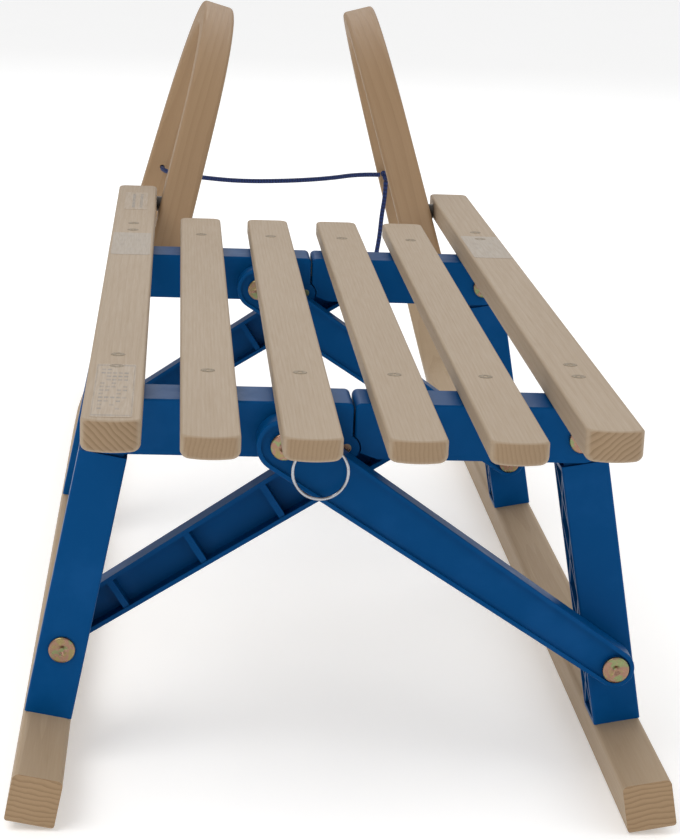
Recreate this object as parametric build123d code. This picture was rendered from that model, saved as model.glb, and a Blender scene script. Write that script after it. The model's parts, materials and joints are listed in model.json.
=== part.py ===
"""Folding wooden sled with horns.

Two wooden runners bend up at the front into horns.  Plastic legs carry two seat halves: each half is
three slats on two crossbar halves, and the halves are hinged under the middle of the seat.  In each of
the two trestles a diagonal brace runs from each leg to the opposite crossbar half, one behind the
trestle and one ahead of it, and a lock pin with a ring holds the rear brace.

Millimetres.  +Z up, +Y towards the horns, +X to the right seen from behind.  The origin is on the
floor, under the middle of the overall box.
"""
import os
from math import atan2, cos, degrees, hypot, pi, radians, sin, tan

from build123d import *

# ---------------------------------------------------------------- driving dimensions
TRESTLE_SPACING = 504.0      # rear to front trestle, centre to centre
SLAT_OVERHANG_REAR = 167.0   # inner slats behind the rear trestle's centre
HORN_REACH = 610.0           # foremost point of the horns ahead of the front trestle's centre
SEAT_BEAM_Z = 258.0          # top of the crossbars above the floor

CROSSBAR_DEPTH = 41.0        # along Y
CROSSBAR_HEIGHT = 37.5
CROSSBAR_WALL = 4.0
CROSSBAR_EDGE_R = 1.5
CROSSBAR_END_R = 16.0        # rounded outer end about the leg pivot
CROSSBAR_RIB_X = 52.0        # innermost rib
CROSSBAR_RIB_RISE = 3.0      # ribs above the open underside
GAP_X = 4.4                  # the two halves meet a little to the right of the middle
GAP_WIDTH = 1.2
GAP_CORNER_R = 4.0

LEG_PIVOT = (155.9, 21.5)    # sideways, and below the crossbar top
BRACE_PIVOT = (42.2, 24.0)   # on the crossbar half: sideways, and below the crossbar top
FOOT_PIVOT = (184.6, 173.9)  # on the leg: sideways, and below the crossbar top
CENTRE_PIVOT_DROP = 30.5     # centre hinge below the crossbar top
KNUCKLE_R = 8.5
KNUCKLE_CLEARANCE = 1.0
FORK_EAR = 5.0               # thickness of the two outer ears of the centre hinge
RELIEF_ANGLE = 19.0          # underside cut beside the centre hinge, so the halves can fold

LEG_WIDTH = 32.0
LEG_DEPTH = 38.0
LEG_WALL = 3.5
LEG_TONGUE_R = 13.5
LEG_SHOULDER = CROSSBAR_END_R + 1.2
TONGUE_CLEARANCE = 0.5
LEG_RIB = 2.5
LEG_RIB_INSET = 0.4          # ribs' inner edges behind the leg's open side
LEG_RIB_BAYS = 4

BRACE_DEPTH = 18.0
BRACE_STANDOFF = 4.2         # brace's inner side off the crossbar face
BRACE_HEAD_R = 18.0
BRACE_FOOT_R = 13.0
BRACE_RIM = 3.0
BRACE_EDGE_R = 1.0
BRACE_FACE_RECESS = 2.5
BRACE_WEB = 4.0
BRACE_RIB = 4.5
BRACE_RIB_PITCH = 62.0
BRACE_BOSS_R = 9.0
BRACE_GAP = 0.4              # running gap between a brace's boss and what it turns on

BOLT_R = 4.0
BOLT_HEAD_R = 9.0
BOLT_HEAD_T = 2.5
BOLT_DOME = 1.2
BOLT_DIMPLE = (3.6, 1.5)     # socket in a bolt's head: radius at its mouth, and depth
HOLE_CLEARANCE = 0.05
PIVOT_PIN_R = 3.0

LOCK_OFFSET = (23.7, 2.6)    # lock pin from the brace's head pivot: sideways and up
LOCK_LOBE_R = 12.5
LOCK_PIN_R = 4.0
LOCK_PIN_PROUD = 9.0
LOCK_PIN_DEPTH = 12.0
RING_R = 18.0                # middle of the wire
RING_WIRE_R = 1.1
RING_OFF_FACE = 5.0
RING_HOLE_R = 1.9

SLAT_WIDTH = 36.0
SLAT_INNER_T = 15.0
SLAT_OUTER_T = 20.5
SLAT_INNER_X = (31.3, 91.9)
SLAT_OUTER_X = 151.0
SLAT_OVERHANG_FRONT = 85.0   # inner slats ahead of the front trestle's centre
OUTER_OVERHANG_REAR = 155.5
OUTER_OVERHANG_FRONT = 230.0
SLAT_END_R = 34.0            # arc of the rear ends, in plan
SLAT_CORNER_R = 7.0
SLAT_EDGE_R = 2.0            # top edges
SLAT_UNDER_R = 5.0           # lower edges

RUNNER_WIDTH = LEG_WIDTH
RUNNER_HEIGHT = 37.7         # top above the floor, along the legs' lean
RUNNER_TAIL = 122.0          # runner's rear end behind the rear trestle's centre
RUNNER_TAIL_R = 5.0
RUNNER_EDGE_R = 4.0
TWIST_START = 300.0          # straight runner ends this far ahead of the front trestle's centre
SOLE_T = 1.6
SOLE_WIDTH = 20.0
SOLE_TAIL_INSET = 8.0

HORN_THICKNESS = 24.0
HORN_LEAN = 15.5             # degrees inward
HORN_TOE = 1.55              # degrees, the horn's back end further in
HORN_INSET = 7.0             # horn from the runner's line, towards the middle, where its front curve starts
HORN_FRONT_R = 120.0         # outside of the front curve
HORN_FRONT_INSIDE_R = 90.0
HORN_TOP = 453.0             # apex above the floor, along the horn's lean
HORN_BROW_R = 155.0          # outside, from the front up to the apex
HORN_BACK_R = 294.0          # outside, from the apex back
HORN_BACK_TURN = 51.0        # degrees
HORN_BACK_RUN = 158.0        # straight end of the horn, beside the outer slat
CORD_HOLE_HEIGHT = 253.0     # along the lean

PEG_R = 7.0
PEG_BEHIND_SLAT_END = 36.0   # rest peg behind the outer slat's front end
PEG_HEIGHT = 9.0             # above the crossbar top
PEG_SEAT = 8.0               # depth of the peg in the horn
PEG_GAP = 0.3

CORD_R = 2.5
CORD_HOLE_CLEARANCE = 0.3
CORD_FLOOR_GAP = 0.05
KNOT_SIZE = 14.0
KNOT_EDGE_R = 3.8
KNOT_OFF_HORN = 2.0
KNOT_SHIFT = 8.0             # knot from its hole, towards the middle
STOP_KNOT_R = 7.0            # on the front of the horn
STOP_KNOT_LENGTH = 9.0
STOP_KNOT_GAP = 0.2
CORD_STEM = 5.0              # of cord straight out of the left horn
COIL_PLACE = (144.0, 370.0)  # centre: sideways, and ahead of the front trestle's centre
COIL_TURN_R = 25.0           # middle of the turns
COIL_COLUMNS = 2
COIL_LAYERS = 3
COIL_TURNS = 4.6
COIL_LEAD = 22.0             # straight end that the tail runs into
END_KNOT_R = 5.5
END_KNOT_LENGTH = 10.0
END_KNOT_PLACE = (6.0, 10.5) # face that the cord's end meets, from the coil's centre

# ---------------------------------------------------------------- places worked out from them
OVERALL = SLAT_OVERHANG_REAR + TRESTLE_SPACING + HORN_REACH
REAR_Y = -OVERALL / 2 + SLAT_OVERHANG_REAR
FRONT_Y = REAR_Y + TRESTLE_SPACING
TRESTLES = {"rear": REAR_Y, "front": FRONT_Y}

A = (LEG_PIVOT[0], SEAT_BEAM_Z - LEG_PIVOT[1])
B = (FOOT_PIVOT[0], SEAT_BEAM_Z - FOOT_PIVOT[1])
P = (-BRACE_PIVOT[0], SEAT_BEAM_Z - BRACE_PIVOT[1])
C = (0.0, SEAT_BEAM_Z - CENTRE_PIVOT_DROP)
LOCK = (P[0] + LOCK_OFFSET[0], P[1] + LOCK_OFFSET[1])

LEG_LEAN = degrees(atan2(B[0] - A[0], A[1] - B[1]))
LEG_FLOOR_X = A[0] + A[1] * tan(radians(LEG_LEAN))
LEG_TOP_V = A[1] / cos(radians(LEG_LEAN))          # leg pivot above the floor, along the lean
RUNNER_TOP_V = RUNNER_HEIGHT                       # the legs stand on it
RUNNER_BOTTOM_V = SOLE_WIDTH / 2 * tan(radians(LEG_LEAN)) + SOLE_T   # the sole's inner edge on the floor

HALF_DEPTH = CROSSBAR_DEPTH / 2
BRACE_NEAR = HALF_DEPTH + BRACE_STANDOFF
BRACE_FAR = BRACE_NEAR + BRACE_DEPTH


# ---------------------------------------------------------------- helpers
def put(shape, name):
    """Write one node's solid, or group of solids that don't touch."""
    shape.label = name
    export_step(shape, f"parts/{name}.step")


def across(x, z, radius, y0, y1):
    """A cylinder along Y at (x, z), from y0 to y1."""
    return Pos(x, (y0 + y1) / 2, z) * Rot(90, 0, 0) * Cylinder(radius, abs(y1 - y0))


def block(x0, x1, y0, y1, z0, z1):
    return Pos((x0 + x1) / 2, (y0 + y1) / 2, (z0 + z1) / 2) * Box(x1 - x0, y1 - y0, z1 - z0)


def slab(outline, y0, y1):
    """Extrude a face drawn in X and Z from y0 to y1."""
    face = Plane.XZ * outline
    return Pos(0, y0, 0) * extrude(face, amount=y1 - y0, dir=(0, 1, 0))


def hull_bar(p, rp, q, rq):
    """Outline of two circles and their outer tangents, in X and Z."""
    span = hypot(q[0] - p[0], q[1] - p[1])
    heading = atan2(q[1] - p[1], q[0] - p[0])
    tilt = atan2(rp - rq, (span ** 2 - (rp - rq) ** 2) ** 0.5)
    corners = []
    for side in (1, -1):
        turn = heading + side * (pi / 2 - tilt)
        ends = [(p, rp), (q, rq)] if side == 1 else [(q, rq), (p, rp)]
        corners += [(c[0] + r * cos(turn), c[1] + r * sin(turn)) for c, r in ends]
    bar = make_face(Polyline(*corners, close=True))
    return bar + Pos(*p) * Circle(rp) + Pos(*q) * Circle(rq)


def turned(shape, y):
    """The same piece turned half a turn about the trestle's vertical middle line."""
    return Pos(0, y, 0) * Rot(0, 0, 180) * Pos(0, -y, 0) * shape


def mirrored(shape):
    return mirror(shape, about=Plane.YZ)


def leaning_plane(floor_x, y, lean, toe=0.0):
    """Plane of a right-hand runner part: local X forward, local Y up along the lean."""
    l, t = radians(lean), radians(toe)
    forward = Vector(sin(t), cos(t), 0)
    up = Vector(-cos(t) * sin(l), sin(t) * sin(l), cos(l))
    return Plane(origin=(floor_x, y, 0), x_dir=forward, z_dir=forward.cross(up))


LEG_PLANE = leaning_plane(LEG_FLOOR_X, 0, LEG_LEAN)


# ---------------------------------------------------------------- crossbars
def crossbar_half(y, fork):
    """Right-hand half, from the gap to beyond the leg pivot, open underneath."""
    top, bottom = SEAT_BEAM_Z, SEAT_BEAM_Z - CROSSBAR_HEIGHT
    start = GAP_X + GAP_WIDTH / 2 if not fork else -GAP_X + GAP_WIDTH / 2
    end = A[0] + CROSSBAR_END_R
    outline = make_face(Polyline((start, bottom), (start, top), (end, top), (end, A[1]),
                                 (A[0], A[1]), (A[0], bottom), close=True))
    outline += Pos(*A) * Circle(CROSSBAR_END_R)
    corner = outline.vertices().sort_by_distance((start, top, 0))[0]
    outline = fillet(corner, GAP_CORNER_R)
    reach = CROSSBAR_HEIGHT / tan(radians(RELIEF_ANGLE))
    relief = make_face(Polyline((C[0] - reach, C[1]), C, (reach, C[1] - reach * tan(radians(RELIEF_ANGLE))),
                                (-reach, C[1] - reach), close=True))
    outline -= relief
    bar = slab(outline, y - HALF_DEPTH, y + HALF_DEPTH)
    bar = fillet(bar.edges().filter_by(Axis.X).group_by(Axis.Z)[-1], CROSSBAR_EDGE_R)
    inner = HALF_DEPTH - CROSSBAR_WALL
    solid_end = C[0] + KNUCKLE_R + KNUCKLE_CLEARANCE + CROSSBAR_WALL
    bar -= block(solid_end, end + 1, y - inner, y + inner, bottom - 1, top - CROSSBAR_WALL)
    for rib_x in (CROSSBAR_RIB_X, (CROSSBAR_RIB_X + A[0]) / 2):
        bar += block(rib_x, rib_x + CROSSBAR_WALL, y - inner, y + inner,
                     bottom + CROSSBAR_RIB_RISE, top - CROSSBAR_WALL)
    ear_in = HALF_DEPTH - FORK_EAR
    room = KNUCKLE_R + KNUCKLE_CLEARANCE
    sides = [(y - HALF_DEPTH, y - ear_in), (y + ear_in, y + HALF_DEPTH)]
    middle = (y - ear_in + KNUCKLE_CLEARANCE / 2, y + ear_in - KNUCKLE_CLEARANCE / 2)
    if fork:
        bar -= across(*C, room, y - ear_in, y + ear_in)
        for y0, y1 in sides:
            bar += across(*C, KNUCKLE_R, y0, y1)
    else:
        for y0, y1 in ((y - HALF_DEPTH, middle[0]), (middle[1], y + HALF_DEPTH)):
            bar -= across(*C, room, y0, y1)
        bar += across(*C, KNUCKLE_R, *middle)
        web = block(C[0], solid_end, *middle, C[1] - KNUCKLE_R / 2, C[1] + KNUCKLE_R)
        bar += web - slab(relief, y - HALF_DEPTH, y + HALF_DEPTH)
    bar -= across(*C, PIVOT_PIN_R + HOLE_CLEARANCE, y - HALF_DEPTH - 1, y + HALF_DEPTH + 1)
    bar -= across(*A, BOLT_R + HOLE_CLEARANCE, y - HALF_DEPTH - 1, y + HALF_DEPTH + 1)
    return bar


def centre_pin(y):
    return across(*C, PIVOT_PIN_R, y - HALF_DEPTH, y + HALF_DEPTH)


# ---------------------------------------------------------------- legs
def leg(y):
    """Right-hand leg, open towards the middle with crossed ribs, and a tongue in the crossbar."""
    half, deep = LEG_WIDTH / 2, LEG_DEPTH / 2
    shoulder = LEG_TOP_V - LEG_SHOULDER
    shell = extrude(LEG_PLANE * Pos(y, (shoulder + RUNNER_TOP_V) / 2)
                    * Rectangle(LEG_DEPTH, shoulder - RUNNER_TOP_V), half, both=True)
    shell = fillet(shell.edges().filter_by(Axis(origin=(0, 0, 0), direction=LEG_PLANE.y_dir)), 1.5)
    low, high = RUNNER_TOP_V + LEG_WALL, shoulder - LEG_WALL
    pocket_deep = deep - LEG_WALL

    def slice_of(outline, n0, n1):
        """Extrude an outline in the leg's plane between two distances from the plane, outward positive."""
        return extrude(LEG_PLANE.offset(n0) * outline, n1 - n0)

    pocket = slice_of(Pos(y, (low + high) / 2) * Rectangle(2 * pocket_deep, high - low),
                      -half - 1, half - LEG_WALL)
    bay = (high - low) / LEG_RIB_BAYS
    ribs = None
    for i in range(LEG_RIB_BAYS):
        middle = low + bay * (i + 0.5)
        tilt = degrees(atan2(bay, 2 * pocket_deep))
        for sign in (1, -1):
            bar = Pos(y, middle) * Rot(0, 0, sign * tilt) * Rectangle(3 * pocket_deep + bay, LEG_RIB)
            bar = slice_of(bar, -half + LEG_RIB_INSET, half - LEG_WALL)
            ribs = bar if ribs is None else ribs + bar
    solid = shell - pocket + (ribs & pocket)
    foot_v = RUNNER_TOP_V + (LEG_TOP_V - RUNNER_TOP_V) - hypot(B[0] - A[0], B[1] - A[1])
    solid += slice_of(Pos(y, foot_v) * Rectangle(2 * pocket_deep + 1, 2 * BRACE_BOSS_R), -half + 1, half - 1)
    tongue_half = HALF_DEPTH - CROSSBAR_WALL - TONGUE_CLEARANCE
    tongue = slice_of(Pos(y, (LEG_TOP_V + shoulder - 1) / 2)
                      * Rectangle(2 * tongue_half, LEG_TOP_V - shoulder + 1), -LEG_TONGUE_R, LEG_TONGUE_R)
    tongue += across(*A, LEG_TONGUE_R, y - tongue_half, y + tongue_half)
    solid += tongue
    solid -= across(*A, BOLT_R + HOLE_CLEARANCE, y - deep - 1, y + deep + 1)
    solid -= across(*B, BOLT_R + HOLE_CLEARANCE, y - deep - 1, y + deep + 1)
    return solid


# ---------------------------------------------------------------- braces
def brace(y, lock):
    """Behind the trestle, from the left crossbar half down to the right leg."""
    out, near = y - BRACE_FAR, y - BRACE_NEAR
    outline = hull_bar(P, BRACE_HEAD_R, B, BRACE_FOOT_R)
    rim = hull_bar(P, BRACE_HEAD_R - BRACE_RIM, B, BRACE_FOOT_R - BRACE_RIM)
    if lock:
        outline += hull_bar(P, LOCK_LOBE_R, LOCK, LOCK_LOBE_R)
        rim += hull_bar(P, LOCK_LOBE_R - BRACE_RIM, LOCK, LOCK_LOBE_R - BRACE_RIM)
    bar = slab(outline, out, near)
    bar = fillet(bar.edges().group_by(Axis.Y)[0], BRACE_EDGE_R)
    bar -= slab(rim, out - 1, out + BRACE_FACE_RECESS)
    back = slab(rim, out + BRACE_FACE_RECESS + BRACE_WEB, near + 1)
    run = hypot(B[0] - P[0], B[1] - P[1])
    heading = degrees(atan2(B[1] - P[1], B[0] - P[0]))
    ribs = None
    count = round((run - BRACE_HEAD_R - BRACE_FOOT_R) / BRACE_RIB_PITCH)
    first = (run - (count - 1) * BRACE_RIB_PITCH) / 2
    for i in range(count):
        at = first + i * BRACE_RIB_PITCH
        bar_face = Pos(*P) * Rot(0, 0, heading) * Pos(at, 0) * Rectangle(BRACE_RIB, 3 * BRACE_HEAD_R)
        rib = slab(bar_face, out + BRACE_FACE_RECESS + 1, near - 1)
        ribs = rib if ribs is None else ribs + rib
    bar = bar - back + (ribs & back)
    for pivot, face in ((P, y - HALF_DEPTH - BRACE_GAP), (B, y - LEG_DEPTH / 2 - BRACE_GAP)):
        bar += across(*pivot, BRACE_BOSS_R, out, face)
        bar -= across(*pivot, BOLT_R + HOLE_CLEARANCE, out - 1, face + 1)
    if lock:
        bar += across(*LOCK, LOCK_PIN_R + BRACE_RIM, out, out + LOCK_PIN_DEPTH)
        bar -= across(*LOCK, LOCK_PIN_R + HOLE_CLEARANCE, out - 1, out + LOCK_PIN_DEPTH + 1)
    return bar


def bolt_head(x, z, face, outward):
    """A low domed head on the face at y, standing out to the side given by outward, +1 or -1."""
    head = across(x, z, BOLT_HEAD_R, face, face + outward * BOLT_HEAD_T)
    edge = head.faces().sort_by(Axis.Y)[-1 if outward > 0 else 0].edges()
    radius, depth = BOLT_DIMPLE
    socket = Cone(radius / 3, radius, depth)
    place = Pos(x, face + outward * (BOLT_HEAD_T - depth / 2), z) * Rot(-90 * outward, 0, 0)
    return fillet(edge, BOLT_DOME) - place * socket


def bolt(x, z, y_rear, y_front):
    """A bolt along Y with a head at each end, gripping from y_rear to y_front."""
    return across(x, z, BOLT_R, y_rear, y_front) + bolt_head(x, z, y_rear, -1) + bolt_head(x, z, y_front, 1)


def head_stub(y):
    """The brace's head bolt: it rides on the brace and stops just off the crossbar half."""
    out = y - BRACE_FAR
    return across(*P, BOLT_R, out, y - HALF_DEPTH - BRACE_GAP) + bolt_head(*P, out, -1)


def lock_pin(y):
    out = y - BRACE_FAR
    pin = across(*LOCK, LOCK_PIN_R, out - LOCK_PIN_PROUD, out + LOCK_PIN_DEPTH)
    pin += across(*LOCK, LOCK_PIN_R + 1.5, out - 1.5, out)
    hole = Pos(LOCK[0], out - RING_OFF_FACE, LOCK[1]) * Rot(0, 90, 0) * Cylinder(RING_HOLE_R, 4 * LOCK_PIN_R)
    return pin - hole


def ring(y):
    centre = (LOCK[0], y - BRACE_FAR - RING_OFF_FACE, LOCK[1] - RING_R + 0.1)
    return Pos(*centre) * Rot(90, 0, 0) * Torus(RING_R, RING_WIRE_R)


# ---------------------------------------------------------------- seat slats
def slat(x, thickness, y0, y1):
    """One seat slat on the crossbars, its rear end an arc in plan."""
    half = SLAT_WIDTH / 2
    sag = SLAT_END_R - (SLAT_END_R ** 2 - half ** 2) ** 0.5
    rear = ThreePointArc((-half, y0 + sag), (0, y0), (half, y0 + sag))
    rest = Polyline((half, y0 + sag), (half, y1), (-half, y1), (-half, y0 + sag))
    plan = make_face(rear + rest)
    plan = fillet(plan.vertices(), SLAT_CORNER_R)
    board = Pos(x, 0, SEAT_BEAM_Z) * extrude(plan, thickness)
    board = fillet(board.faces().sort_by(Axis.Z)[0].edges(), SLAT_UNDER_R)
    return fillet(board.faces().sort_by(Axis.Z)[-1].edges(), SLAT_EDGE_R)


# ---------------------------------------------------------------- runners and horns
def horn_foremost():
    """How far the horn reaches ahead of the place where its front curve leaves the floor."""
    lean, toe = radians(HORN_LEAN), radians(HORN_TOE)
    rise = (HORN_TOP - HORN_BROW_R) * sin(toe) * sin(lean)
    inner_edge = (RUNNER_WIDTH / 2 - RUNNER_EDGE_R) * sin(toe) * cos(lean)
    return (HORN_FRONT_R - RUNNER_EDGE_R) * cos(toe) + rise + inner_edge + RUNNER_EDGE_R


CURVE_Y = FRONT_Y + HORN_REACH - horn_foremost()    # where the front curve leaves the floor
TWIST_Y = FRONT_Y + TWIST_START


def horn_plane():
    """The horn's plane, through the runner's middle where the front curve starts."""
    middle = (RUNNER_TOP_V + RUNNER_BOTTOM_V) / 2
    shift = middle * (sin(radians(HORN_LEAN)) - sin(radians(LEG_LEAN)))
    return leaning_plane(LEG_FLOOR_X + shift - HORN_INSET, CURVE_Y, HORN_LEAN, HORN_TOE)


HORN_PLANE = horn_plane()


def horn_outline():
    """The loop in its own plane: local X forward from the start of the front curve, local Y up."""
    low, top = RUNNER_BOTTOM_V, RUNNER_TOP_V
    t = HORN_THICKNESS
    reach = HORN_FRONT_R
    front = JernArc((0, low), (1, 0), HORN_FRONT_R, 90)
    rise = Line(front @ 1, (reach, HORN_TOP - HORN_BROW_R))
    brow = JernArc(rise @ 1, (0, 1), HORN_BROW_R, 90)
    back = JernArc(brow @ 1, (-1, 0), HORN_BACK_R, HORN_BACK_TURN)
    down = PolarLine(back @ 1, HORN_BACK_RUN, 180 + HORN_BACK_TURN)
    end = PolarLine(down @ 1, t, 270 + HORN_BACK_TURN)
    up = PolarLine(end @ 1, HORN_BACK_RUN, HORN_BACK_TURN)
    under = JernArc(up @ 1, up % 1, HORN_BACK_R - t, -HORN_BACK_TURN)
    inner_brow = JernArc(under @ 1, under % 1, HORN_BROW_R - t, -90)
    inside = HORN_FRONT_INSIDE_R
    fall = Line(inner_brow @ 1, (reach - t, top + inside))
    inner_front = JernArc(fall @ 1, (0, -1), inside, -90)
    floor = Line(inner_front @ 1, (0, top))
    close = Line(floor @ 1, (0, low))
    return make_face(Wire([front, rise, brow, back, down, end, up, under, inner_brow, fall, inner_front,
                           floor, close]))


def band_section(plane, along):
    """The runner's section, across its plane at a distance along it."""
    place = Plane(origin=plane.from_local_coords((along, (RUNNER_TOP_V + RUNNER_BOTTOM_V) / 2, 0)),
                  x_dir=plane.z_dir, z_dir=plane.x_dir)
    return place * RectangleRounded(RUNNER_WIDTH, RUNNER_TOP_V - RUNNER_BOTTOM_V, RUNNER_EDGE_R)


def runner():
    """Right-hand runner with its horn."""
    tail = REAR_Y - RUNNER_TAIL
    straight = extrude(band_section(LEG_PLANE, tail), TWIST_Y - tail)
    twist = loft([band_section(LEG_PLANE, TWIST_Y), band_section(HORN_PLANE, 0)], ruled=True)
    loop = extrude(HORN_PLANE * horn_outline(), RUNNER_WIDTH / 2, both=True)
    long_edges = [e for e in loop.edges() if not on_start(e)]
    loop = fillet(long_edges, RUNNER_EDGE_R)
    wood = straight + twist + loop
    wood -= rounding(tail)
    wood -= horn_rod(CORD_R + CORD_HOLE_CLEARANCE, -HORN_THICKNESS, HORN_THICKNESS)
    wood -= peg_body()
    return wood


def on_start(edge):
    """Is this edge in the horn's start face?"""
    return all(abs(HORN_PLANE.to_local_coords(Vector(*tuple(v))).X) < 0.01 for v in edge.vertices())


def rounding(tail):
    """What a rounded lower edge takes off the runner's tail."""
    r = RUNNER_TAIL_R
    corner = Pos(r / 2 - 0.5, r / 2 - 0.5) * Rectangle(r + 1, r + 1) - Pos(r, r) * Circle(r)
    return extrude(LEG_PLANE * Pos(tail, RUNNER_BOTTOM_V) * corner, RUNNER_WIDTH, both=True)


CORD_HOLE_AT = HORN_PLANE.from_local_coords((HORN_FRONT_R - HORN_THICKNESS / 2, CORD_HOLE_HEIGHT, 0))


def horn_rod(radius, start, end):
    """A cylinder on the cord hole's axis, between two distances forward of the band's middle."""
    place = Plane(origin=CORD_HOLE_AT + HORN_PLANE.x_dir * ((start + end) / 2),
                  x_dir=HORN_PLANE.y_dir, z_dir=HORN_PLANE.x_dir)
    return place * Cylinder(radius, end - start)


PEG_Y = FRONT_Y + OUTER_OVERHANG_FRONT - PEG_BEHIND_SLAT_END
PEG_TIP_X = SLAT_OUTER_X - SLAT_WIDTH / 2 - PEG_GAP


def horn_face_x(y, z):
    """Where the horn's outer face stands at a height and a place along the sled."""
    l, t = radians(HORN_LEAN), radians(HORN_TOE)
    face = HORN_PLANE.origin + HORN_PLANE.z_dir * (RUNNER_WIDTH / 2)
    n = HORN_PLANE.z_dir
    return face.X - ((y - face.Y) * n.Y + (z - face.Z) * n.Z) / n.X


def peg_body():
    z = SEAT_BEAM_Z + PEG_HEIGHT
    inner = horn_face_x(PEG_Y, z) - PEG_SEAT
    return Pos((inner + PEG_TIP_X) / 2, PEG_Y, z) * Rot(0, 90, 0) * Cylinder(PEG_R, PEG_TIP_X - inner)


def sole_section(plane, along):
    """The sole's section, across the runner's plane at a distance along it."""
    place = Plane(origin=plane.from_local_coords((along, RUNNER_BOTTOM_V - SOLE_T / 2, 0)),
                  x_dir=plane.z_dir, z_dir=plane.x_dir)
    return place * Rectangle(SOLE_WIDTH, SOLE_T)


def sole():
    """Flat steel strip under the runner, cut off at the floor where the horn starts to lean more."""
    start = REAR_Y - RUNNER_TAIL + RUNNER_TAIL_R + SOLE_TAIL_INSET
    straight = extrude(sole_section(LEG_PLANE, start), TWIST_Y - start)
    long_edges = straight.faces().sort_by(Axis.Y)[0].edges().sort_by(SortBy.LENGTH)[-2:]
    straight = chamfer(long_edges.sort_by(Axis.Z)[0], SOLE_T * 0.6)
    twist = loft([sole_section(LEG_PLANE, TWIST_Y), sole_section(HORN_PLANE, 0)], ruled=True)
    return straight + twist - block(0, 2 * LEG_FLOOR_X, start - 1, FRONT_Y + HORN_REACH, -50, 0)


# ---------------------------------------------------------------- pull cord
BACK_FACE = HORN_THICKNESS / 2
CORD_START = CORD_HOLE_AT - HORN_PLANE.x_dir * (BACK_FACE + CORD_STEM)
KNOT_AT = (CORD_HOLE_AT.X - KNOT_SHIFT, CORD_HOLE_AT.Y - BACK_FACE - KNOT_OFF_HORN - KNOT_SIZE / 2,
           CORD_HOLE_AT.Z)
COIL_AT = (COIL_PLACE[0], FRONT_Y + COIL_PLACE[1])
COIL_REACH = COIL_TURN_R + (COIL_COLUMNS - 1) * CORD_R
LYING_Z = CORD_R + CORD_FLOOR_GAP
END_KNOT_Z = END_KNOT_R + CORD_FLOOR_GAP
SPAN_MIDDLE = [(-88, 570, 240.5), (-44, 573, 237), (8, 578, 238), (56, 586, 241)]
TAIL_MIDDLE = [(118, 591.5, 200), (116.5, 590, 175), (112.5, 589, 149), (113.5, 589, 113), (117, 588, 76),
               (120, 582, 42), (124, 565, 15), (127, 538, 3.2), (124, 507, LYING_Z)]


def stop_knot():
    """Cord through the horn, knotted on its front."""
    front = BACK_FACE + STOP_KNOT_GAP
    knot = horn_rod(STOP_KNOT_R, front, front + STOP_KNOT_LENGTH)
    knot = fillet(knot.edges(), STOP_KNOT_LENGTH / 3)
    return knot + horn_rod(CORD_R, -BACK_FACE - CORD_STEM, front + 1)


def side_knot():
    """Where the cord across the horns ends and the tail hangs from."""
    return Pos(*KNOT_AT) * fillet(Box(KNOT_SIZE, KNOT_SIZE, KNOT_SIZE).edges(), KNOT_EDGE_R)


def tube(name, points):
    """Straight runs joined by arcs, each as large as its two runs allow."""
    radii = []
    for before, at, after in zip(points, points[1:], points[2:]):
        arriving, leaving = Vector(*at) - Vector(*before), Vector(*after) - Vector(*at)
        turn = radians(arriving.get_angle(leaving))
        radii.append(0.45 * min(arriving.length, leaving.length) / tan(turn / 2))
    path = FilletPolyline(*points, radius=radii)
    cord = sweep(Plane(origin=path @ 0, z_dir=path % 0) * Circle(CORD_R), path=path)
    solid_ratio = cord.volume / (pi * CORD_R ** 2 * path.length)
    print(f"{name}: length {path.length:.0f}, volume ratio {solid_ratio:.4f},",
          "radii", [round(r) for r in radii])
    return cord


def cord_span():
    """From the left horn's hole across to the knot at the right horn, sagging."""
    start = Vector(-CORD_START.X, CORD_START.Y, CORD_START.Z)
    toe = radians(HORN_TOE)
    out = start + Vector(sin(toe), -cos(toe), 0) * 16
    turn_end = out + Vector(12, -10, -2)
    end = Vector(KNOT_AT[0] - KNOT_SIZE / 2, KNOT_AT[1], KNOT_AT[2])
    arrive = end - Vector(24, 0, 0)
    return tube("span", [tuple(start), tuple(out), tuple(turn_end), *SPAN_MIDDLE, tuple(arrive), tuple(end)])


def cord_tail():
    """From the knot down to the floor, and back to the coil."""
    x, y, z = KNOT_AT
    lead_x, lead_y = COIL_AT[0] - COIL_REACH, COIL_AT[1] + COIL_LEAD
    points = [(x, y, z - KNOT_SIZE / 2), (x, y, z - KNOT_SIZE / 2 - 16), *TAIL_MIDDLE,
              (lead_x, lead_y + 30, LYING_Z), (lead_x, lead_y, LYING_Z)]
    return tube("tail", points)


def coil():
    """Outer shape of the wound length, with the two ends that leave it."""
    radial = 2 * CORD_R * COIL_COLUMNS
    height = 2 * CORD_R * COIL_LAYERS
    section = Pos(COIL_TURN_R, CORD_FLOOR_GAP + height / 2) * RectangleRounded(radial, height, CORD_R * 0.96)
    wound = revolve(Plane.XZ * section, Axis.Z)
    lead_in = Pos(-COIL_REACH, COIL_LEAD / 2, LYING_Z) * Rot(90, 0, 0) * Cylinder(CORD_R, COIL_LEAD)
    x, y = END_KNOT_PLACE
    inside = COIL_TURN_R - x - CORD_R
    lead_out = Pos(x + inside / 2, y, END_KNOT_Z) * Rot(0, 90, 0) * Cylinder(CORD_R, inside)
    print(f"coil: wound length {2 * pi * COIL_TURN_R * COIL_TURNS:.0f}, and an end of {COIL_LEAD:.0f}")
    return Pos(*COIL_AT, 0) * (wound + lead_in + lead_out)


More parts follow.
